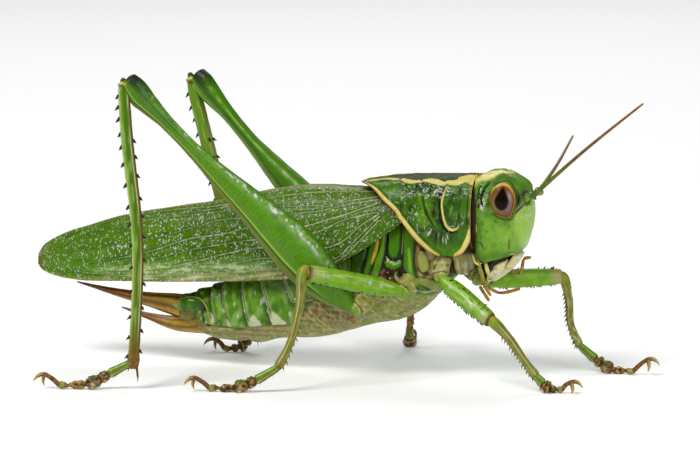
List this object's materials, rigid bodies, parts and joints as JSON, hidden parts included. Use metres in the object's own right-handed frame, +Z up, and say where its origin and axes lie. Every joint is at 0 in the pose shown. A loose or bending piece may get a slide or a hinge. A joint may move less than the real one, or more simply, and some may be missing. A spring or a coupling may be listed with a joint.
{
  "type": "grasshopper",
  "caption": "Life-size green grasshopper standing on its six feet, with folded leathery wings, raised jumping legs, short feelers and a curved ovipositor.",
  "frame": {"origin": "middle of the bounding box's underside, on the floor the feet stand on", "axes": "+X towards the head, +Y to the insect's left, +Z up"},
  "size_m": [0.0764, 0.0468, 0.0365],
  "materials": {
    "leaf_green": "smooth glossy cuticle, dark green",
    "bright_green": "smooth glossy cuticle, bright green",
    "face_green": "glossy cuticle, pale green",
    "wing_green": "leathery veined wing, green",
    "belly": "soft folded skin, grey-green",
    "cream": "hard cream-yellow cuticle",
    "eye_brown": "polished dark brown eye",
    "olive": "satin olive cuticle",
    "brown": "glossy brown cuticle"
  },
  "bodies": {
    "root": {"head": "face_green", "eye_right": "eye_brown", "eye_left": "eye_brown", "antenna_right": "olive", "antenna_left": "olive", "upper_lip": "belly", "lower_lip": "belly", "neck": "belly", "mandible_right": "cream", "mandible_left": "cream", "palp_maxillary_right": "brown", "palp_maxillary_left": "brown", "palp_labial_right": "brown", "palp_labial_left": "brown", "pronotum": "leaf_green", "thorax": "leaf_green", "abdomen": "leaf_green", "cercus_right": "bright_green", "cercus_left": "bright_green", "ovipositor_upper": "brown", "ovipositor_lower": "brown", "tegmen_right": "wing_green", "tegmen_left": "wing_green", "hind_wing_right": "olive", "hind_wing_left": "olive", "coxa_hind_right": "belly", "femur_hind_right": "bright_green", "tibia_hind_right": "olive", "tarsus_hind_right": "olive", "claws_hind_right": "brown", "coxa_hind_left": "belly", "femur_hind_left": "bright_green", "tibia_hind_left": "olive", "tarsus_hind_left": "olive", "claws_hind_left": "brown", "coxa_middle_right": "belly", "femur_middle_right": "bright_green", "tibia_middle_right": "olive", "tarsus_middle_right": "olive", "claws_middle_right": "brown", "coxa_middle_left": "belly", "femur_middle_left": "bright_green", "tibia_middle_left": "olive", "tarsus_middle_left": "olive", "claws_middle_left": "brown", "coxa_front_right": "belly", "femur_front_right": "bright_green", "tibia_front_right": "olive", "tarsus_front_right": "olive", "claws_front_right": "brown", "coxa_front_left": "belly", "femur_front_left": "bright_green", "tibia_front_left": "olive", "tarsus_front_left": "olive", "claws_front_left": "brown"}
  },
  "joints": []
}
